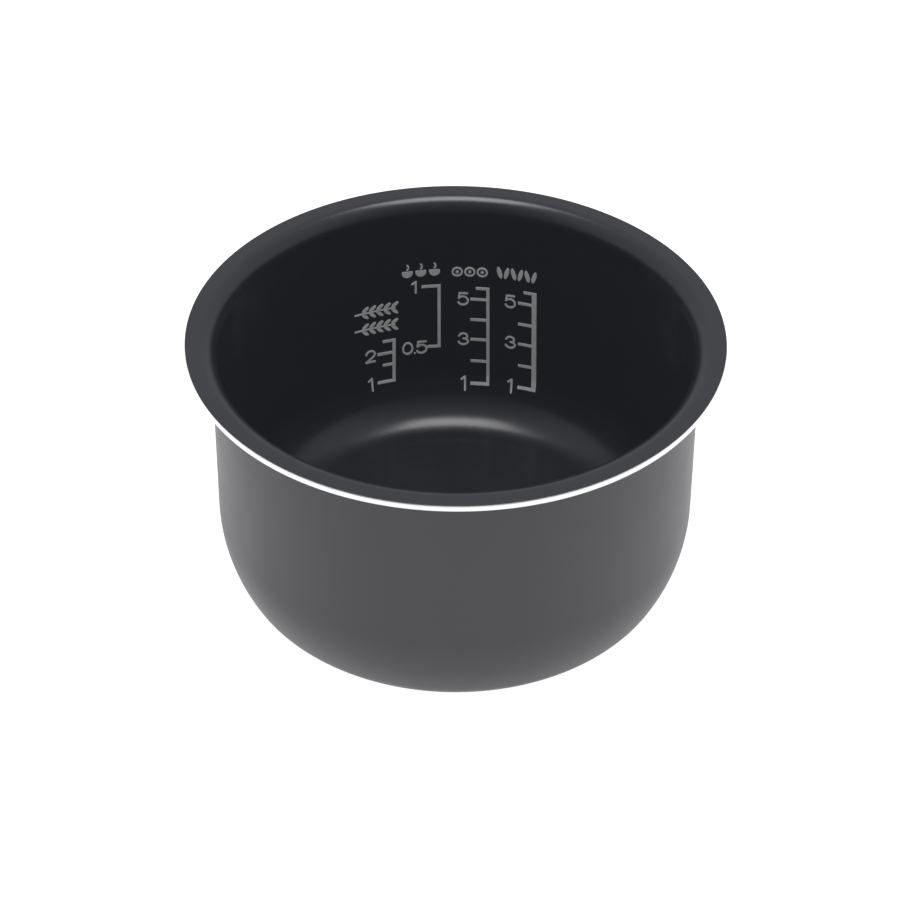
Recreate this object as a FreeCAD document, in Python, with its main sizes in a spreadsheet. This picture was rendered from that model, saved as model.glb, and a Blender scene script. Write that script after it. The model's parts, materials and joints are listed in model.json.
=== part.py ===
import FreeCAD, Part
import math
import os
import Sketcher

# Inner cooking pot of a rice cooker: a pressed aluminium pan with a flat flange round its mouth, a
# non-stick coat inside, a satin coat outside, and four level scales printed on the inner wall.
# +Z is up. The origin is the centre of the flat underside. The scales are on the +Y side of the wall.

Vector = FreeCAD.Vector
doc = FreeCAD.newDocument("InnerPot")

# ---------------------------------------------------------------- driving dimensions (millimetres)

DIMENSIONS = (
    ("total_height", 115.2, "underside to the top of the flange"),
    ("flange_radius", 106.0, "outer edge of the flange"),
    ("flange_thickness", 2.9, "over both coats"),
    ("edge_bevel", 0.3, "bevel at the top and bottom of the bare edge"),
    ("wall_radius", 95.7, "outside of the straight wall"),
    ("neck_radius", 4.0, "outside corner under the flange"),
    ("shoulder_radius", 64.0, "outside, the large arc that starts to close the wall in"),
    ("heel_radius", 16.4, "outside, the small arc that meets the base"),
    ("base_radius", 74.3, "flat part of the underside"),
    ("cavity_radius", 93.5, "inside of the straight wall"),
    ("lip_radius", 7.0, "rounded lip between the flange and the inner wall"),
    ("cavity_shoulder_radius", 22.0, "inside, the large arc"),
    ("cavity_heel_radius", 21.0, "inside, the small arc that meets the floor"),
    ("floor_radius", 72.0, "flat part of the cooking floor"),
    ("floor_height", 7.0, "cooking floor above the underside"),
    ("coat_thickness", 0.15, "each coat, drawn thicker than the real 0.04"),
    ("ink_thickness", 0.3, "printed marks, drawn thicker than the real 0.02"),
    ("tick_thickness", 1.3, "height of a level mark"),
    ("tick_long", 8.2, "level mark with its share of the bar"),
    ("tick_short", 5.8, "level mark of a half step"),
    ("numeral_width", 4.9, "one numeral"),
    ("numeral_height", 6.6, "one numeral"),
    ("stroke_width", 0.85, "line weight of the numerals"),
    ("symbol_stroke", 0.75, "line weight of the symbols"),
    ("numeral_offset", 10.6, "middle of the numerals, left of the bar"),
    ("symbol_offset", 7.8, "middle of the symbol, left of the bar"),
    ("symbol_rise", 8.3, "middle of the symbol's lowest row, above the highest mark"),
    ("ear_spacing", 8.6, "between the two rows of the oatmeal symbol"),
    ("blank_depth", 14.0, "radial depth of the blanks that the print is cut from"),
)

sheet = doc.addObject("Spreadsheet::Sheet", "Dimensions")
for row, (alias, value, note) in enumerate(DIMENSIONS, start=1):
    sheet.set(f"A{row}", alias)
    sheet.set(f"B{row}", str(value))
    sheet.set(f"C{row}", note)
    sheet.setAlias(f"B{row}", alias)
doc.recompute()


def size(alias):
    """A driving dimension, read back from the sheet."""
    return float(sheet.get(alias))


def evaluate(formula):
    """The value of a sum of the sheet's aliases, such as "wall_radius - coat_thickness"."""
    total, sign = 0.0, 1.0
    for word in formula.split():
        if word in "+-":
            sign = 1.0 if word == "+" else -1.0
        else:
            total += sign * size(word)
    return total


def bound(formula):
    """The same formula with each alias pointing at the sheet, for setExpression."""
    return " ".join(word if word in "+-" else f"Dimensions.{word}" for word in formula.split())


# ------------------------------------------------------------------- sections that are turned about Z


class Section:
    """A closed outline in the XZ plane, drawn as lines and arcs whose sizes are bound to the sheet."""

    def __init__(self, node):
        self.body = doc.addObject("PartDesign::Body", node)
        self.body.Label = node
        plane = next(f for f in self.body.Origin.OriginFeatures if f.Role == "XZ_Plane")
        self.sketch = self.body.newObject("Sketcher::SketchObject", f"{node}_section")
        self.sketch.AttachmentSupport = [(plane, "")]
        self.sketch.MapMode = "FlatFace"
        self.names = 0

    def line(self, start, end):
        return self.sketch.addGeometry(Part.LineSegment(Vector(*start, 0), Vector(*end, 0)), False)

    def join(self, kind, *pairs):
        """Joins end points two by two, either Coincident at a corner or Tangent where it is smooth."""
        for first, first_point, second, second_point in pairs:
            self.rule(kind, first, first_point, second, second_point)

    def arc(self, centre, radius, start_angle, end_angle):
        circle = Part.Circle(Vector(*centre, 0), Vector(0, 0, 1), radius)
        arc = Part.ArcOfCircle(circle, math.radians(start_angle), math.radians(end_angle))
        return self.sketch.addGeometry(arc, False)

    def rule(self, kind, *where):
        return self.sketch.addConstraint(Sketcher.Constraint(kind, *where))

    def drive(self, kind, where, formula):
        """A dimension of the outline that follows the sheet."""
        index = self.rule(kind, *where, evaluate(formula))
        self.names += 1
        name = f"size_{self.names}"
        self.sketch.renameConstraint(index, name)
        self.sketch.setExpression(f"Constraints.{name}", bound(formula))

    def at_radius(self, item, point, formula):
        self.drive("DistanceX", (-1, 1, item, point), formula)

    def at_height(self, item, point, formula):
        self.drive("DistanceY", (-1, 1, item, point), formula)

    def turn(self):
        doc.recompute()
        revolution = self.body.newObject("PartDesign::Revolution", f"{self.body.Name}_turned")
        revolution.Profile = self.sketch
        revolution.ReferenceAxis = (self.sketch, ["V_Axis"])
        revolution.Angle = 360.0
        self.sketch.Visibility = False
        return self.body


START, END, CENTRE = 1, 2, 3  # the points of a line or an arc
Z_AXIS = -2  # the sketch's own vertical axis
SURFACE, METAL, INK = "", " + coat_thickness", " - ink_thickness"  # depths below the finished surface


def shoulder_height(wall, shoulder, heel, flat, bottom):
    """Height of the shoulder arc's centre, where the shoulder and the heel arcs touch smoothly."""
    across = flat - (wall - shoulder)
    return bottom + heel + math.sqrt((shoulder - heel) ** 2 - across**2)


def opposite(depth):
    """The same depth with its sign changed, for the radius of an arc that bulges the other way."""
    return depth.translate(str.maketrans("+-", "-+"))


def outer_line(section, depth):
    """The outside of the pot from the edge of the base, up the wall and out under the flange."""
    coat, minus = evaluate(depth), opposite(depth)
    wall, heel, neck = size("wall_radius"), size("heel_radius"), size("neck_radius")
    shoulder, flat = size("shoulder_radius"), size("base_radius")
    under = size("total_height") - size("flange_thickness")
    edge = size("flange_radius") - size("edge_bevel")
    middle = shoulder_height(wall, shoulder, heel, flat, 0.0)
    hand_over = math.degrees(math.asin((middle - heel) / (shoulder - heel)))

    heel_arc = section.arc((flat, heel), heel - coat, 270, 360 - hand_over)
    shoulder_arc = section.arc((wall - shoulder, middle), shoulder - coat, 360 - hand_over, 360)
    wall_line = section.line((wall - coat, middle), (wall - coat, under - neck))
    neck_arc = section.arc((wall + neck, under - neck), neck + coat, 90, 180)
    flange = section.line((wall + neck, under + coat), (edge, under + coat))

    section.join(
        "Tangent",
        (heel_arc, END, shoulder_arc, START),
        (shoulder_arc, END, wall_line, START),
        (wall_line, END, neck_arc, END),
        (neck_arc, START, flange, START),
    )
    section.rule("Vertical", wall_line)
    section.rule("Horizontal", flange)
    section.drive("Radius", (heel_arc,), f"heel_radius{minus}")
    section.drive("Radius", (shoulder_arc,), f"shoulder_radius{minus}")
    section.drive("Radius", (neck_arc,), f"neck_radius{depth}")
    section.at_radius(heel_arc, CENTRE, "base_radius")
    section.at_height(heel_arc, CENTRE, "heel_radius")
    section.at_radius(heel_arc, START, "base_radius")
    section.at_radius(shoulder_arc, CENTRE, "wall_radius - shoulder_radius")
    section.at_height(neck_arc, CENTRE, "total_height - flange_thickness - neck_radius")
    section.at_radius(flange, END, "flange_radius - edge_bevel")
    return heel_arc, flange


def inner_line(section, depth):
    """The cooking floor from its centre, up the inner wall, over the lip and out along the flange."""
    coat, minus = evaluate(depth), opposite(depth)
    wall, heel, lip = size("cavity_radius"), size("cavity_heel_radius"), size("lip_radius")
    shoulder, flat = size("cavity_shoulder_radius"), size("floor_radius")
    floor_z, top = size("floor_height"), size("total_height")
    edge = size("flange_radius") - size("edge_bevel")
    middle = shoulder_height(wall, shoulder, heel, flat, floor_z)
    hand_over = math.degrees(math.asin((middle - floor_z - heel) / (shoulder - heel)))

    floor = section.line((0, floor_z - coat), (flat, floor_z - coat))
    heel_arc = section.arc((flat, floor_z + heel), heel + coat, 270, 360 - hand_over)
    shoulder_arc = section.arc((wall - shoulder, middle), shoulder + coat, 360 - hand_over, 360)
    wall_line = section.line((wall + coat, middle), (wall + coat, top - lip))
    lip_arc = section.arc((wall + lip, top - lip), lip - coat, 90, 180)
    flange = section.line((wall + lip, top - coat), (edge, top - coat))

    section.join(
        "Tangent",
        (floor, END, heel_arc, START),
        (heel_arc, END, shoulder_arc, START),
        (shoulder_arc, END, wall_line, START),
        (wall_line, END, lip_arc, END),
        (lip_arc, START, flange, START),
    )
    section.rule("PointOnObject", floor, START, Z_AXIS)
    section.rule("Horizontal", floor)
    section.rule("Vertical", wall_line)
    section.rule("Horizontal", flange)
    section.drive("Radius", (heel_arc,), f"cavity_heel_radius{depth}")
    section.drive("Radius", (shoulder_arc,), f"cavity_shoulder_radius{depth}")
    section.drive("Radius", (lip_arc,), f"lip_radius{minus}")
    section.at_radius(heel_arc, CENTRE, "floor_radius")
    section.at_height(heel_arc, CENTRE, "floor_height + cavity_heel_radius")
    section.at_radius(shoulder_arc, CENTRE, "cavity_radius - cavity_shoulder_radius")
    section.at_height(lip_arc, CENTRE, "total_height - lip_radius")
    section.at_radius(flange, END, "flange_radius - edge_bevel")
    return floor, flange


def make_pan_core():
    """The aluminium pan between its two coats, with the bare bevelled edge all round the flange."""
    section = Section("pan_core")
    heel_arc, under = outer_line(section, METAL)
    floor, top = inner_line(section, METAL)
    coat, bevel, rim = size("coat_thickness"), size("edge_bevel"), size("flange_radius")
    low = size("total_height") - size("flange_thickness") + coat
    high = size("total_height") - coat
    base = section.line((0, coat), (size("base_radius"), coat))
    axis = section.line((0, coat), (0, size("floor_height") - coat))
    lower_bevel = section.line((rim - bevel, low), (rim, low + bevel))
    edge = section.line((rim, low + bevel), (rim, high - bevel))
    upper_bevel = section.line((rim, high - bevel), (rim - bevel, high))
    section.join("Tangent", (base, END, heel_arc, START))
    section.join(
        "Coincident",
        (base, START, axis, START),
        (floor, START, axis, END),
        (under, END, lower_bevel, START),
        (lower_bevel, END, edge, START),
        (edge, END, upper_bevel, START),
        (upper_bevel, END, top, END),
    )
    section.rule("PointOnObject", base, START, Z_AXIS)
    section.rule("Vertical", edge)
    section.at_radius(edge, START, "flange_radius")
    section.at_height(edge, START, "total_height - flange_thickness + coat_thickness + edge_bevel")
    section.at_height(edge, END, "total_height - coat_thickness - edge_bevel")
    return section.turn()


def make_lining(node, face, back):
    """A layer that follows the floor, the inner wall, the lip and the top of the flange."""
    section = Section(node)
    floor, top = inner_line(section, face)
    back_floor, back_top = inner_line(section, back)
    rim = size("flange_radius") - size("edge_bevel")
    low, high = evaluate(back), evaluate(face)
    axis = section.line((0, size("floor_height") - low), (0, size("floor_height") - high))
    edge = section.line((rim, size("total_height") - low), (rim, size("total_height") - high))
    section.join(
        "Coincident",
        (back_floor, START, axis, START),
        (floor, START, axis, END),
        (back_top, END, edge, START),
        (top, END, edge, END),
    )
    return section.turn()


def make_outer_coating():
    """The satin coat from the edge of the base, up the outer wall and out under the flange."""
    section = Section("outer_coating")
    heel_arc, under = outer_line(section, SURFACE)
    metal_heel, metal_under = outer_line(section, METAL)
    coat, flat = size("coat_thickness"), size("base_radius")
    low = size("total_height") - size("flange_thickness")
    rim = size("flange_radius") - size("edge_bevel")
    seam = section.line((flat, 0), (flat, coat))
    edge = section.line((rim, low), (rim, low + coat))
    section.join(
        "Coincident",
        (heel_arc, START, seam, START),
        (metal_heel, START, seam, END),
        (under, END, edge, START),
        (metal_under, END, edge, END),
    )
    return section.turn()


def make_base_coating():
    """The same satin coat on the flat underside that the pot stands on."""
    disc = doc.addObject("Part::Cylinder", "base_coating")
    disc.Label = "base_coating"
    disc.setExpression("Radius", "Dimensions.base_radius")
    disc.setExpression("Height", "Dimensions.coat_thickness")
    return disc


# ------------------------------------------------------------------------------------ printed marks

# Each scale: its name, where the top of its bar stands in degrees from +Y towards +X, how many degrees
# the bar leans with its foot to the right, the width of the bar, the heights of its long and of its
# short marks, and the numerals beside them. The print was laid on flat, so the outer scales lean a bit.
RICE_MARKS = (66.9, 56.05, 45.55, 34.15, 23.0)
SUSHI_MARKS = (66.2, 55.55, 45.15, 33.7, 22.3)
SCALES = (
    ("white_rice", 20.7, 1.1, 2.1, RICE_MARKS, (72.8,), {66.9: "5", 45.55: "3", 23.0: "1"}),
    ("sushi_rice", 8.3, 0.7, 1.35, SUSHI_MARKS, (71.9,), {66.2: "5", 45.15: "3", 22.3: "1"}),
    ("porridge", -4.43, 0.1, 1.35, (73.0,), (41.4,), {73.0: "1", 41.4: "0.5"}),
    ("oatmeal", -16.45, -0.5, 1.4, (40.7, 25.8), (47.05, 34.5), {40.7: "2", 25.8: "1"}),
)


def segment(start, via, end):
    """A straight edge, or an arc where a point on the way is given, in the XY plane."""
    if via is None:
        return Part.LineSegment(Vector(*start, 0), Vector(*end, 0)).toShape()
    return Part.Arc(Vector(*start, 0), Vector(*via, 0), Vector(*end, 0)).toShape()


def stroke(width, *path):
    """A pen line of one width with round ends, along segments that meet end to end."""
    wire = Part.Wire([segment(*step) for step in path])
    return wire.makeOffset2D(width / 2, join=0, fill=True, openResult=False)


def bar(width, start, end):
    """A straight pen line with square ends."""
    start, end = Vector(*start, 0), Vector(*end, 0)
    side = (end - start).cross(Vector(0, 0, 1)).normalize() * (width / 2)
    return Part.Face(Part.makePolygon([start + side, end + side, end - side, start - side, start + side]))


def oval(middle, half_length, half_width, tilt=0.0):
    """A filled ellipse whose long side leans tilt degrees from the level."""
    face = Part.Face(Part.Wire(Part.Ellipse(Vector(0, 0, 0), half_length, half_width).toShape()))
    face.rotate(Vector(0, 0, 0), Vector(0, 0, 1), tilt)
    return face.translated(Vector(*middle, 0))


def disc(middle, radius):
    return Part.Face(Part.Wire(Part.makeCircle(radius, Vector(*middle, 0))))


def spaced(count, step):
    """Places side by side, a step apart, with their middle at zero."""
    return [(i - (count - 1) / 2) * step for i in range(count)]


def numeral(digit):
    """One digit round the origin, as a list of faces. a and b are half its width and height."""
    pen = size("stroke_width")
    a, b = (size("numeral_width") - pen) / 2, (size("numeral_height") - pen) / 2
    if digit == "0":
        hole = oval((0, 0), b - pen / 2, a - pen / 2, 90)
        return [oval((0, 0), b + pen / 2, a + pen / 2, 90).cut(hole)]
    if digit == "1":
        flag = ((-0.45 * a, 0.6 * b), None, (0.3 * a, b))
        stem = ((0.3 * a, b), None, (0.3 * a, -b))
        return [stroke(pen, flag, stem)]
    if digit == "2":
        crown = ((-a, 0.42 * b), (0, b), (a, 0.45 * b))
        sweep = ((a, 0.45 * b), (0.62 * a, -0.1 * b), (0, -0.45 * b))
        slope = ((0, -0.45 * b), None, (-a, -b))
        foot = ((-a, -b), None, (a, -b))
        return [stroke(pen, crown, sweep, slope, foot)]
    if digit == "3":
        crown = ((-0.9 * a, 0.55 * b), (0, b), (0.85 * a, 0.5 * b))
        waist = ((0.85 * a, 0.5 * b), (0.6 * a, 0.18 * b), (0, 0.06 * b))
        hip = ((0, 0.06 * b), (0.72 * a, -0.1 * b), (a, -0.48 * b))
        bowl = ((a, -0.48 * b), (0, -b), (-a, -0.55 * b))
        return [stroke(pen, crown, waist), stroke(pen, hip, bowl)]
    roof = ((0.85 * a, b), None, (-0.75 * a, b))
    back = ((-0.75 * a, b), None, (-0.9 * a, 0.12 * b))
    bowl = ((-0.9 * a, 0.12 * b), (a, -0.4 * b), (-a, -0.62 * b))
    return [stroke(pen, roof, back, bowl)]


def numerals(texts, top):
    """The numerals of one scale, each at its height below the top mark."""
    faces = []
    step = size("numeral_width") * 1.25  # between two digits, with room for a point
    for height, text in texts.items():
        digits = text.replace(".", "")
        for digit, across in zip(digits, spaced(len(digits), step)):
            faces += [face.translated(Vector(across, height - top, 0)) for face in numeral(digit)]
        if "." in text:
            foot = height - top - size("numeral_height") / 2 + size("stroke_width") / 2
            faces.append(disc((0, foot), size("stroke_width") / 2))
    return faces


def rice_symbol():
    """A row of rice grains that lean to one side and the other in turn."""
    half_length, half_width, lean, step = 2.9, 0.95, 14.0, 3.0
    places = enumerate(spaced(6, step))
    return [oval((x, 0), half_length, half_width, 90 + (-lean if i % 2 else lean)) for i, x in places]


def roll_symbol():
    """A row of round rolls cut across: a ring with a filling in the middle."""
    outside, inside, filling, step = 2.4, 1.6, 0.7, 5.3
    faces = []
    for x in spaced(3, step):
        faces += [disc((x, 0), outside).cut(disc((x, 0), inside)), disc((x, 0), filling)]
    return faces


def bowl_symbol():
    """A row of bowls, each with a bent wisp of steam."""
    half_width, brim, foot, step = 2.2, 0.2, -2.9, 5.8
    steam, swing, rise = 1.1, 0.5, 2.2  # where the wisp starts, how far it bends, how tall it is
    faces = []
    for x in spaced(3, step):
        left, right = (x - half_width, brim), (x + half_width, brim)
        bowl = Part.Wire([segment(left, None, right), segment(right, (x, foot), left)])
        wisp = ((x, steam), (x + swing, steam + rise / 2), (x, steam + rise))
        faces += [Part.Face(bowl), stroke(size("symbol_stroke"), wisp)]
    return faces


def ear_symbol():
    """Two ears of oats, one above the other, each a stem with pairs of husks."""
    stem = (-10.0, 8.5)
    half_length, half_width, lean, step = 1.9, 0.75, 40.0, 3.3
    ahead, aside = 1.6, 1.7  # middle of a husk from where it leaves the stem
    faces = []
    for row in (-0.5 * size("ear_spacing"), 0.5 * size("ear_spacing")):
        faces.append(bar(size("symbol_stroke"), (stem[0], row), (stem[1], row)))
        for x in spaced(5, step):
            for side in (-1, 1):
                middle = (x + ahead, row + side * aside)
                faces.append(oval(middle, half_length, half_width, side * lean))
    return faces


SYMBOLS = {
    "white_rice": rice_symbol,
    "sushi_rice": roll_symbol,
    "porridge": bowl_symbol,
    "oatmeal": ear_symbol,
}


def facing(azimuth, across, height, lean):
    """A placement on the wall for a drawing in the XZ plane that reads from the middle of the pot.

    across is measured along the wall, to the right of the azimuth. The drawing leans lean degrees
    about its own origin, with its foot to the right.
    """
    angle = azimuth + math.degrees(across / size("cavity_radius"))
    turn = FreeCAD.Rotation(Vector(0, 0, 1), -angle)
    near = size("cavity_radius") - size("blank_depth") / 2
    tilt = FreeCAD.Rotation(Vector(0, 1, 0), -lean)
    return FreeCAD.Placement(turn.multVec(Vector(0, near, height)), turn.multiply(tilt))


def print_on_wall(node, blank, layer):
    """The part of a blank that lies in the print layer is the printed mark."""
    mark = doc.addObject("Part::Common", node)
    mark.Label = node
    mark.Base, mark.Tool = blank, layer
    return mark


def make_scale(name, azimuth, lean, bar_width, long_marks, short_marks, layer):
    """The upright bar of one scale, with its level marks going off to the left."""
    thickness, heights = size("tick_thickness"), long_marks + short_marks
    top = max(heights)
    pieces = []

    def block(label, width, low, high):
        piece = doc.addObject("Part::Box", f"{name}_{label}")
        piece.Length, piece.Height = width, high - low
        piece.setExpression("Width", "Dimensions.blank_depth")
        place = facing(azimuth, 0.0, top, lean)
        place.Base += place.Rotation.multVec(Vector(bar_width / 2 - width, 0, low - top))
        piece.Placement = place
        pieces.append(piece)
        return piece

    block("bar", bar_width, min(heights) - thickness / 2, top + thickness / 2)
    for number, height in enumerate(heights, start=1):
        alias = "tick_long" if height in long_marks else "tick_short"
        tick = block(f"mark_{number}", size(alias), height - thickness / 2, height + thickness / 2)
        tick.setExpression("Length", f"Dimensions.{alias}")
        tick.setExpression("Height", "Dimensions.tick_thickness")
    blank = doc.addObject("Part::MultiFuse", f"{name}_scale_blank")
    blank.Shapes = pieces
    return print_on_wall(f"{name}_scale", blank, layer)


def make_drawing(node, faces, azimuth, across, height, lean, layer):
    """Flat faces in the XY plane, made into a blank, stood up and printed on the wall."""
    slabs = [face.extrude(Vector(0, 0, -size("blank_depth"))) for face in faces]
    blank = doc.addObject("Part::Feature", f"{node}_blank")
    blank.Shape = slabs[0].fuse(slabs[1:]).removeSplitter()
    stood_up = FreeCAD.Placement(Vector(0, 0, 0), FreeCAD.Rotation(Vector(1, 0, 0), 90))
    blank.Placement = facing(azimuth, across, height, lean).multiply(stood_up)
    return print_on_wall(node, blank, layer)


def make_print(layer):
    """The three printed nodes of every scale: the marks, the numerals and the symbol above them."""
    nodes = []
    for name, azimuth, lean, bar_width, long_marks, short_marks, texts in SCALES:
        nodes.append(make_scale(name, azimuth, lean, bar_width, long_marks, short_marks, layer))
        top = max(long_marks + short_marks)
        drawing, across = numerals(texts, top), -size("numeral_offset")
        nodes.append(make_drawing(f"{name}_numerals", drawing, azimuth, across, top, lean, layer))
        drawing, across = SYMBOLS[name](), -size("symbol_offset")
        rise = top + size("symbol_rise")
        if name == "oatmeal":
            rise += size("ear_spacing") / 2
        nodes.append(make_drawing(f"{name}_symbol", drawing, azimuth, across, rise, lean, layer))
    return nodes


# ------------------------------------------------------------------------------- building and saving


def check(nodes):
    """Stops if anything failed to build, before a file is written."""
    for thing in doc.Objects:
        if "Invalid" in thing.State or "Error" in thing.State:
            raise RuntimeError(f"{thing.Label} failed to build: {thing.State}")
        if thing.isDerivedFrom("Sketcher::SketchObject") and not thing.FullyConstrained:
            raise RuntimeError(f"{thing.Label} isn't fully constrained")
    for node in nodes:
        shape = node.Shape
        if shape.isNull() or not shape.isValid() or not shape.Solids:
            raise RuntimeError(f"{node.Label} has no valid solid")


print_layer = make_lining("print_layer", INK, SURFACE)
pieces = [
    make_pan_core(),
    make_lining("inner_coating", SURFACE, METAL),
    make_outer_coating(),
    make_base_coating(),
    *make_print(print_layer),
]
doc.recompute()
check(pieces)

os.makedirs("parts", exist_ok=True)
for piece in pieces:
    piece.Shape.exportStep(f"parts/{piece.Label}.step")
    print(f"{piece.Label:24s} {len(piece.Shape.Solids):3d} solids {piece.Shape.Volume / 1000:9.3f} cm3")
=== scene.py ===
import json
import math

import bmesh
import bpy
from mathutils import Matrix, Vector


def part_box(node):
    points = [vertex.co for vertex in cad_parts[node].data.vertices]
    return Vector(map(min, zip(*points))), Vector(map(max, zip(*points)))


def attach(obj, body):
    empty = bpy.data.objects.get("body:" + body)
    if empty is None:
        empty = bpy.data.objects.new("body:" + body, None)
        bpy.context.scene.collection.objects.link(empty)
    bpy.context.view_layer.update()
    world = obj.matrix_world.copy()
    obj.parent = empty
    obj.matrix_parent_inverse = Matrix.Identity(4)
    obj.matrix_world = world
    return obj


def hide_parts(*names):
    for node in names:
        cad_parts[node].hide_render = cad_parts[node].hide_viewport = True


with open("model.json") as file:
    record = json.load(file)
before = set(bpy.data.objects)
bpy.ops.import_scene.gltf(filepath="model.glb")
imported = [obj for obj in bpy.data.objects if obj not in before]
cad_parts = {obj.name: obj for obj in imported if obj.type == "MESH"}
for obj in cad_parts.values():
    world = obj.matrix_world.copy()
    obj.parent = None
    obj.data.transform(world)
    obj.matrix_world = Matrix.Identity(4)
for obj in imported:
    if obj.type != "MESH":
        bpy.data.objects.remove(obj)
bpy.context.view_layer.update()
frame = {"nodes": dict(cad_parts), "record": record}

# Inner cooking pot of a rice cooker. The pan and its two coats are turned here from fine profiles, and
# the printed level marks are the CAD nodes themselves with an ink material. Lengths are in metres.

MM = 0.001

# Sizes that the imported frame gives.
FLANGE_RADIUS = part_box("pan_core")[1].x
FLANGE_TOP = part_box("inner_coating")[1].z
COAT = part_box("base_coating")[1].z
COAT_EDGE_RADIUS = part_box("inner_coating")[1].x
FLANGE_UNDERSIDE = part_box("outer_coating")[1].z - COAT
BASE_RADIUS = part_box("base_coating")[1].x
FLOOR_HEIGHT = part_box("inner_coating")[0].z + COAT
MOUNTS = {mount["name"]: mount for mount in frame["record"]["mounts"]}
WALL_RADIUS = MOUNTS["wall_outside"]["dims"]["r_mm"] * MM

# Sizes that the frame's boxes don't show, the same as in the CAD model.
NECK_RADIUS = 4.0 * MM
SHOULDER_RADIUS = 64.0 * MM
HEEL_RADIUS = 16.4 * MM
CAVITY_RADIUS = 93.5 * MM
LIP_RADIUS = 7.0 * MM
CAVITY_SHOULDER_RADIUS = 22.0 * MM
CAVITY_HEEL_RADIUS = 21.0 * MM
FLOOR_RADIUS = 72.0 * MM

TURN_STEPS = 360  # facets round the pot
ARC_STEP = math.radians(2.5)  # the most that one facet of a profile's arc turns
WALL_STEPS, FLOOR_STEPS, BASE_STEPS, FLANGE_STEPS = 12, 10, 8, 2  # facets along straight runs
SHARP_EDGE = math.radians(28)  # edges that turn by more than this are shown sharp
ON_AXIS = 1e-7  # a smaller radius is a point on the axis

# How the stage is set, chosen so that the picture looks like the photograph.
FLOOR_HALF_SIDE, FLOOR_DROP = 4.0, 0.1 * MM  # the drop keeps the floor out of the plane of the base
SENSOR_WIDTH, FOCAL_LENGTH = 36.0, 119.29  # millimetres
CAMERA_PLACE, CAMERA_TARGET, CAMERA_ROLL = (0.0, -0.9435, 0.8003), (-0.00204, 0.0, 0.0577), 0.288
SOFTBOX_PLACE, SOFTBOX_TARGET = (0.0, 0.15, 1.32), (0.0, 0.15, 0.1)
SOFTBOX_WIDTH, SOFTBOX_LENGTH, SOFTBOX_POWER = 0.50, 0.62, 6.6
BLACK_LEVEL = (-0.0088, -0.0093, -0.0115)  # below zero, which lifts the blacks like a lens's glare

# Brightness of the surround: by the sine of the elevation, and from the camera's side to the far side.
SURROUND_BY_RISE = ((0.06, 0.15), (0.26, 1.0), (1.0, 1.0))
SURROUND_BY_SIDE = ((0.10, 0.14), (0.40, 0.56), (0.72, 0.56))
SURROUND_BLUE = 1.03  # how much bluer than grey the surround is

# Real ink doesn't glow. This makes up for light that the studio doesn't bring into the pot; 0 turns it off.
INK_GLOW = 0.08

scene = bpy.context.scene


# ------------------------------------------------------------------------------------------ profiles


def arc(centre, radius, start, end):
    """Points along an arc in the (radius, height) plane, from one angle in degrees to another."""
    start, end = math.radians(start), math.radians(end)
    steps = max(3, math.ceil(abs(end - start) / ARC_STEP))
    angles = [start + (end - start) * i / steps for i in range(steps + 1)]
    return [(centre[0] + radius * math.cos(a), centre[1] + radius * math.sin(a)) for a in angles]


def straight(start, end, steps):
    """Points along a straight run, without its first, so that it can follow an arc."""
    return [
        (start[0] + (end[0] - start[0]) * i / steps, start[1] + (end[1] - start[1]) * i / steps)
        for i in range(1, steps + 1)
    ]


def shoulder_centre(wall, shoulder, heel, flat, bottom):
    """Height of the shoulder arc's centre, where it meets the heel arc smoothly, and the angle there."""
    across = flat - (wall - shoulder)
    up = math.sqrt((shoulder - heel) ** 2 - across**2)
    return bottom + heel + up, math.degrees(math.asin(up / (shoulder - heel)))


def outer_profile(depth):
    """The outside from the edge of the base to the edge of the flange, depth below the surface."""
    middle, hand_over = shoulder_centre(WALL_RADIUS, SHOULDER_RADIUS, HEEL_RADIUS, BASE_RADIUS, 0.0)
    neck = (WALL_RADIUS + NECK_RADIUS, FLANGE_UNDERSIDE - NECK_RADIUS)
    points = arc((BASE_RADIUS, HEEL_RADIUS), HEEL_RADIUS - depth, -90, -hand_over)
    points += arc((WALL_RADIUS - SHOULDER_RADIUS, middle), SHOULDER_RADIUS - depth, -hand_over, 0)[1:]
    points += straight(points[-1], (WALL_RADIUS - depth, neck[1]), WALL_STEPS)
    points += arc(neck, NECK_RADIUS + depth, 180, 90)[1:]
    return points + straight(points[-1], (COAT_EDGE_RADIUS, FLANGE_UNDERSIDE + depth), FLANGE_STEPS)


def inner_profile(depth):
    """The inside from the middle of the floor to the edge of the flange, depth below the surface."""
    middle, hand_over = shoulder_centre(
        CAVITY_RADIUS, CAVITY_SHOULDER_RADIUS, CAVITY_HEEL_RADIUS, FLOOR_RADIUS, FLOOR_HEIGHT
    )
    heel = (FLOOR_RADIUS, FLOOR_HEIGHT + CAVITY_HEEL_RADIUS)
    lip = (CAVITY_RADIUS + LIP_RADIUS, FLANGE_TOP - LIP_RADIUS)
    low = FLOOR_HEIGHT - depth
    points = [(0.0, low)] + straight((0.0, low), (FLOOR_RADIUS, low), FLOOR_STEPS)
    points += arc(heel, CAVITY_HEEL_RADIUS + depth, -90, -hand_over)[1:]
    shoulder = (CAVITY_RADIUS - CAVITY_SHOULDER_RADIUS, middle)
    points += arc(shoulder, CAVITY_SHOULDER_RADIUS + depth, -hand_over, 0)[1:]
    points += straight(points[-1], (CAVITY_RADIUS + depth, lip[1]), WALL_STEPS)
    points += arc(lip, LIP_RADIUS - depth, 180, 90)[1:]
    return points + straight(points[-1], (COAT_EDGE_RADIUS, FLANGE_TOP - depth), FLANGE_STEPS)


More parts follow.
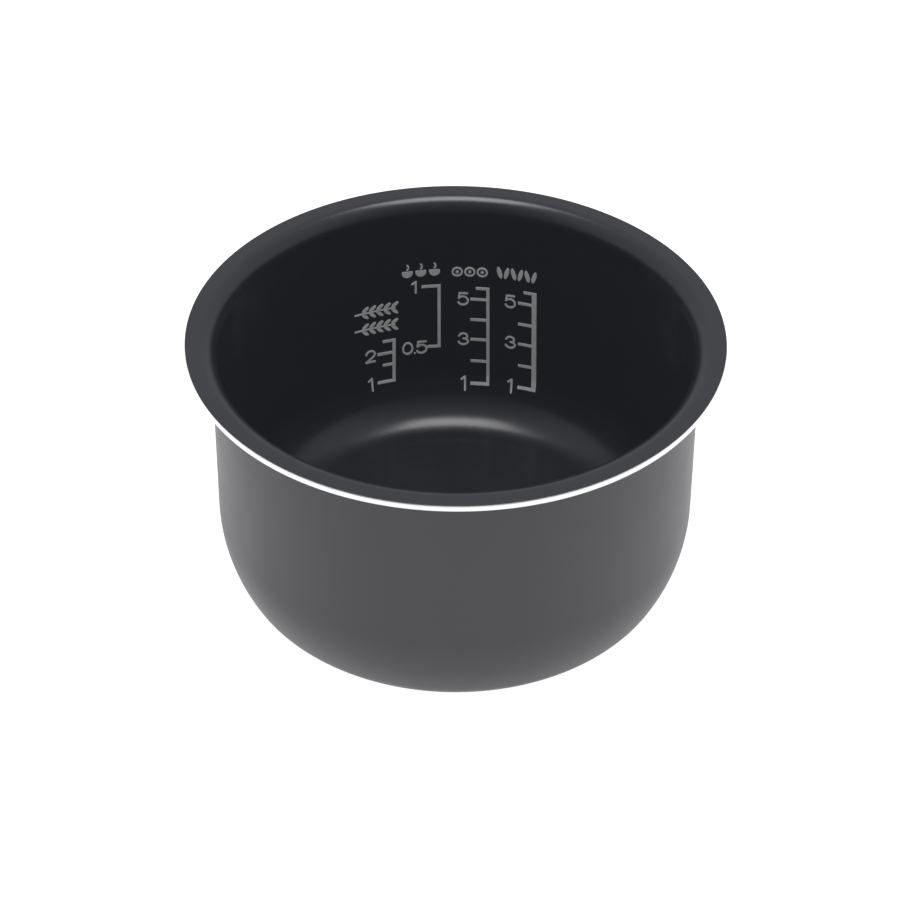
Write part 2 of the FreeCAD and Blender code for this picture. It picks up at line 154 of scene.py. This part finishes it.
def bare_edge_profile():
    """The bare edge of the flange from its underside to its top: turned with a slight crown."""
    low, high = FLANGE_UNDERSIDE + COAT, FLANGE_TOP - COAT
    half, rise = (high - low) / 2, FLANGE_RADIUS - COAT_EDGE_RADIUS
    radius = (half**2 + rise**2) / (2 * rise)
    swing = math.degrees(math.asin(half / radius))
    return arc((FLANGE_RADIUS - radius, (low + high) / 2), radius, -swing, swing)


def turned(name, profile):
    """A closed solid of revolution from a closed outline of (radius, height) points."""
    mesh = bpy.data.meshes.new(name)
    bm = bmesh.new()
    rings = []
    for radius, height in profile:
        if radius < ON_AXIS:
            rings.append([bm.verts.new((0.0, 0.0, height))] * TURN_STEPS)
            continue
        ring = []
        for step in range(TURN_STEPS):
            angle = 2 * math.pi * step / TURN_STEPS
            ring.append(bm.verts.new((radius * math.cos(angle), radius * math.sin(angle), height)))
        rings.append(ring)
    for first, second in zip(rings, rings[1:] + rings[:1]):
        for i in range(TURN_STEPS):
            j = (i + 1) % TURN_STEPS
            corners = []
            for vertex in (first[i], first[j], second[j], second[i]):
                if vertex not in corners:
                    corners.append(vertex)
            if len(corners) > 2:
                bm.faces.new(corners)
    bmesh.ops.recalc_face_normals(bm, faces=bm.faces)
    for face in bm.faces:
        face.smooth = True
    for edge in bm.edges:
        edge.smooth = edge.calc_face_angle(0.0) < SHARP_EDGE
    bm.to_mesh(mesh)
    bm.free()
    piece = bpy.data.objects.new(name, mesh)
    scene.collection.objects.link(piece)
    return piece


# ----------------------------------------------------------------------------------------- materials


class Recipe:
    """A material whose nodes are added by short calls. Lengths inside are in metres."""

    def __init__(self, name):
        self.material = bpy.data.materials.new(name)
        self.material.use_nodes = True
        self.tree = self.material.node_tree
        self.shader = self.tree.nodes["Principled BSDF"]
        self.place = self.node("ShaderNodeTexCoord").outputs["Object"]

    def node(self, kind, **settings):
        node = self.tree.nodes.new(kind)
        for key, value in settings.items():
            setattr(node, key, value)
        return node

    def feed(self, node, **inputs):
        """Sets a node's inputs by name, by a value or by another node's output."""
        for key, value in inputs.items():
            socket = node.inputs[key.replace("_", " ")]
            if isinstance(value, bpy.types.NodeSocket):
                self.tree.links.new(value, socket)
            else:
                socket.default_value = value
        return node

    def noise(self, size, detail=3.0, roughness=0.5, place=None):
        """Soft noise whose lumps are about size across."""
        node = self.node("ShaderNodeTexNoise")
        self.feed(node, Vector=place or self.place, Scale=1 / size, Detail=detail, Roughness=roughness)
        return node.outputs["Fac"]

    def ramp(self, factor, *stops):
        """A colour or a grey that runs through stops of (position, colour)."""
        node = self.node("ShaderNodeValToRGB")
        self.feed(node, Fac=factor)
        for index, (position, colour) in enumerate(stops):
            if index > 1:
                node.color_ramp.elements.new(position)
            element = node.color_ramp.elements[index]
            element.position = position
            element.color = colour if len(colour) == 4 else (*colour, 1.0)
        return node.outputs["Color"]

    def spread(self, factor, low, high):
        """A noise, mostly between 0.3 and 0.7, stretched from low to high."""
        node = self.node("ShaderNodeMapRange")
        self.feed(node, Value=factor, From_Min=0.3, From_Max=0.7, To_Min=low, To_Max=high)
        return node.outputs["Result"]

    def maths(self, operation, first, second=0.0):
        node = self.node("ShaderNodeMath", operation=operation)
        for socket, value in zip(node.inputs, (first, second)):
            if isinstance(value, bpy.types.NodeSocket):
                self.tree.links.new(value, socket)
            else:
                socket.default_value = value
        return node.outputs[0]

    def bump(self, height, depth, under=None):
        """Raises the surface by depth where height is 1, on top of an earlier bump."""
        node = self.node("ShaderNodeBump")
        self.feed(node, Height=height, Distance=depth, Strength=1.0)
        if under is not None:
            self.feed(node, Normal=under)
        return node.outputs["Normal"]


def nonstick_coat():
    """Sprayed black non-stick coat: satin, with a fine orange peel and faint lighter flecks."""
    recipe = Recipe("nonstick_coat")
    cloud, peel = recipe.noise(18 * MM, 4.0), recipe.noise(0.9 * MM, 2.0)
    grain = recipe.noise(0.16 * MM, 2.0, 0.7)
    mixed = recipe.maths("ADD", recipe.maths("MULTIPLY", cloud, 0.5), recipe.maths("MULTIPLY", grain, 0.5))
    colour = recipe.ramp(mixed, (0.36, (0.0145, 0.0152, 0.018)), (0.66, (0.019, 0.020, 0.0235)))
    normal = recipe.bump(peel, 0.006 * MM)
    normal = recipe.bump(grain, 0.003 * MM, normal)
    recipe.feed(recipe.shader, Base_Color=colour, Roughness=recipe.spread(cloud, 0.21, 0.25), Normal=normal)
    recipe.feed(recipe.shader, IOR=1.5)
    return recipe.material


def satin_coat():
    """Sprayed dark grey heat-resistant coat: duller than the inside, with a fine even grain."""
    recipe = Recipe("satin_coat")
    cloud, grain = recipe.noise(30 * MM, 4.0), recipe.noise(0.25 * MM, 2.0, 0.7)
    mixed = recipe.maths("ADD", recipe.maths("MULTIPLY", cloud, 0.5), recipe.maths("MULTIPLY", grain, 0.5))
    colour = recipe.ramp(mixed, (0.36, (0.0135, 0.0118, 0.0165)), (0.66, (0.018, 0.0158, 0.0215)))
    normal = recipe.bump(grain, 0.006 * MM)
    recipe.feed(recipe.shader, Base_Color=colour, Roughness=recipe.spread(cloud, 0.40, 0.46), Normal=normal)
    recipe.feed(recipe.shader, IOR=1.57)
    return recipe.material


def bare_aluminium():
    """Turned aluminium: bright, with fine tool lines that run round the pot."""
    recipe = Recipe("bare_aluminium")
    split = recipe.feed(recipe.node("ShaderNodeSeparateXYZ"), Vector=recipe.place)
    squares = [recipe.maths("POWER", split.outputs[axis], 2.0) for axis in ("X", "Y")]
    radius = recipe.maths("SQRT", recipe.maths("ADD", *squares))
    section = recipe.feed(recipe.node("ShaderNodeCombineXYZ"), X=radius, Z=split.outputs["Z"])
    lines = recipe.noise(0.12 * MM, 3.0, 0.6, section.outputs["Vector"])
    cloud = recipe.noise(6 * MM, 3.0)
    colour = recipe.ramp(cloud, (0.3, (0.79, 0.795, 0.81)), (0.7, (0.86, 0.862, 0.87)))
    recipe.feed(recipe.shader, Base_Color=colour, Metallic=1.0, Roughness=recipe.spread(lines, 0.22, 0.36))
    recipe.feed(recipe.shader, Normal=recipe.bump(lines, 0.004 * MM))
    return recipe.material


def print_ink():
    """Light grey screen-printed ink, a little uneven where the screen laid it on, with a faint painted glow
    that stands in for light.
    """
    recipe = Recipe("print_ink")
    patches, specks = recipe.noise(2.2 * MM, 3.0), recipe.noise(0.2 * MM, 2.0, 0.7)
    mixed = recipe.maths("ADD", recipe.maths("MULTIPLY", patches, 0.6), recipe.maths("MULTIPLY", specks, 0.4))
    colour = recipe.ramp(mixed, (0.34, (0.72, 0.725, 0.70)), (0.62, (0.86, 0.865, 0.84)))
    normal = recipe.bump(specks, 0.01 * MM)
    recipe.feed(recipe.shader, Base_Color=colour, Roughness=recipe.spread(specks, 0.5, 0.62), Normal=normal)
    # Painted light: the ink glows a little, by INK_GLOW, in place of light that the studio doesn't bring into
    # the pot.
    recipe.feed(recipe.shader, Emission_Color=colour, Emission_Strength=INK_GLOW)
    return recipe.material


def pale_floor():
    """The white sheet of a light table: pale, and lit a little from below."""
    recipe = Recipe("pale_floor")
    colour = recipe.ramp(recipe.noise(0.6, 2.0), (0.3, (0.40, 0.40, 0.40)), (0.7, (0.42, 0.42, 0.42)))
    recipe.feed(recipe.shader, Base_Color=colour, Roughness=0.9)
    recipe.feed(recipe.shader, Emission_Color=(1.0, 1.0, 1.0, 1.0), Emission_Strength=0.98)
    return recipe.material


# -------------------------------------------------------------------------------------------- pieces

SLOTS = {
    "bare_aluminium": bare_aluminium(),
    "nonstick_coat": nonstick_coat(),
    "satin_coat": satin_coat(),
    "print_ink": print_ink(),
}


def dress(piece, slot):
    """Gives a piece, or a CAD node, the material of one of the record's slots."""
    piece.data.materials.clear()
    piece.data.materials.append(SLOTS[slot])


def add_piece(name, profile, slot, node):
    """A turned piece that is shown in place of a CAD node."""
    piece = turned(name, profile)
    dress(piece, slot)
    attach(piece, "root")
    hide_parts(node)


def make_pan():
    """The metal between the coats. Only its bare edge shows."""
    outline = [(0.0, COAT), *outer_profile(COAT), *bare_edge_profile()[1:-1], *inner_profile(COAT)[::-1]]
    add_piece("aluminium_pan", outline, "bare_aluminium", "pan_core")


def make_coats():
    """The non-stick coat inside, and the satin coat on the outside and on the base."""
    inside = inner_profile(0.0) + inner_profile(COAT)[::-1]
    add_piece("nonstick_lining", inside, "nonstick_coat", "inner_coating")
    outside = outer_profile(0.0) + outer_profile(COAT)[::-1]
    add_piece("outer_coat", outside, "satin_coat", "outer_coating")
    disc = [(0.0, 0.0), *straight((0.0, 0.0), (BASE_RADIUS, 0.0), BASE_STEPS)]
    disc += [(radius, COAT) for radius, _ in disc[::-1]]
    add_piece("base_coat", disc, "satin_coat", "base_coating")


def make_print():
    """The level scales, numerals and symbols are the CAD nodes themselves, given the ink."""
    for part in frame["record"]["subparts"]:
        if part["material_slot"] == "print_ink":
            dress(frame["nodes"][part["node"]], "print_ink")


# ----------------------------------------------------------------------------------- stage and camera


def make_floor():
    """A flat sheet, a hair under the base so that the two faces don't share a plane."""
    mesh = bpy.data.meshes.new("floor")
    side, level = FLOOR_HALF_SIDE, -FLOOR_DROP
    corners = [(-side, -side, level), (side, -side, level), (side, side, level), (-side, side, level)]
    mesh.from_pydata(corners, [], [(0, 1, 2, 3)])
    mesh.materials.append(pale_floor())
    floor = bpy.data.objects.new("floor", mesh)
    scene.collection.objects.link(floor)


def aim(thing, target, roll=0.0):
    """Points a lamp or a camera at a place, leaning by roll degrees."""
    direction = Vector(target) - thing.location
    facing = direction.to_track_quat("-Z", "Y").to_matrix().to_4x4()
    lean = Matrix.Rotation(math.radians(roll), 4, "Z")
    thing.matrix_world = Matrix.Translation(thing.location) @ facing @ lean


def make_camera():
    """A long lens about 1.2 metres away, 36 degrees above the middle of the mouth."""
    lens = bpy.data.cameras.new("camera")
    lens.sensor_width = SENSOR_WIDTH
    lens.lens = FOCAL_LENGTH
    camera = bpy.data.objects.new("camera", lens)
    scene.collection.objects.link(camera)
    camera.location = CAMERA_PLACE
    aim(camera, CAMERA_TARGET, CAMERA_ROLL)
    scene.camera = camera


def make_softbox():
    """One soft rectangular lamp overhead, a little behind the pot."""
    lamp = bpy.data.lights.new("overhead_softbox", "AREA")
    lamp.shape = "RECTANGLE"
    lamp.size, lamp.size_y = SOFTBOX_WIDTH, SOFTBOX_LENGTH
    lamp.energy = SOFTBOX_POWER
    box = bpy.data.objects.new("overhead_softbox", lamp)
    scene.collection.objects.link(box)
    box.location = SOFTBOX_PLACE
    aim(box, SOFTBOX_TARGET)


def make_surround():
    """A plain studio: soft light from every side above the horizon, dim close to the horizon."""
    world = bpy.data.worlds.new("studio")
    scene.world = world
    world.use_nodes = True
    nodes, links = world.node_tree.nodes, world.node_tree.links
    direction = nodes.new("ShaderNodeTexCoord").outputs["Generated"]
    split = nodes.new("ShaderNodeSeparateXYZ")
    links.new(direction, split.inputs["Vector"])

    def ramp(source, stops):
        node = nodes.new("ShaderNodeValToRGB")
        for index, (position, level) in enumerate(stops):
            if index > 1:
                node.color_ramp.elements.new(position)
            node.color_ramp.elements[index].position = position
            node.color_ramp.elements[index].color = (level, level, level * SURROUND_BLUE, 1.0)
        links.new(source, node.inputs["Fac"])
        return node.outputs["Color"]

    first_colour, second_colour, mixed_colour = 6, 7, 2  # the mix node's colour sockets
    product = nodes.new("ShaderNodeMix")
    product.data_type, product.blend_type = "RGBA", "MULTIPLY"
    product.inputs["Factor"].default_value = 1.0
    behind = nodes.new("ShaderNodeMapRange")
    behind.inputs["From Min"].default_value = -1.0
    links.new(split.outputs["Y"], behind.inputs["Value"])
    links.new(ramp(split.outputs["Z"], SURROUND_BY_RISE), product.inputs[first_colour])
    links.new(ramp(behind.outputs["Result"], SURROUND_BY_SIDE), product.inputs[second_colour])
    links.new(product.outputs[mixed_colour], nodes["Background"].inputs["Color"])
    nodes["Background"].inputs["Strength"].default_value = 1.0


def make_lights():
    make_surround()
    make_softbox()
    scene.view_settings.view_transform = "Standard"
    scene.view_settings.use_curve_mapping = True
    scene.view_settings.curve_mapping.black_level = BLACK_LEVEL
    scene.view_settings.curve_mapping.update()


make_pan()
make_coats()
make_print()
make_floor()
make_camera()
make_lights()
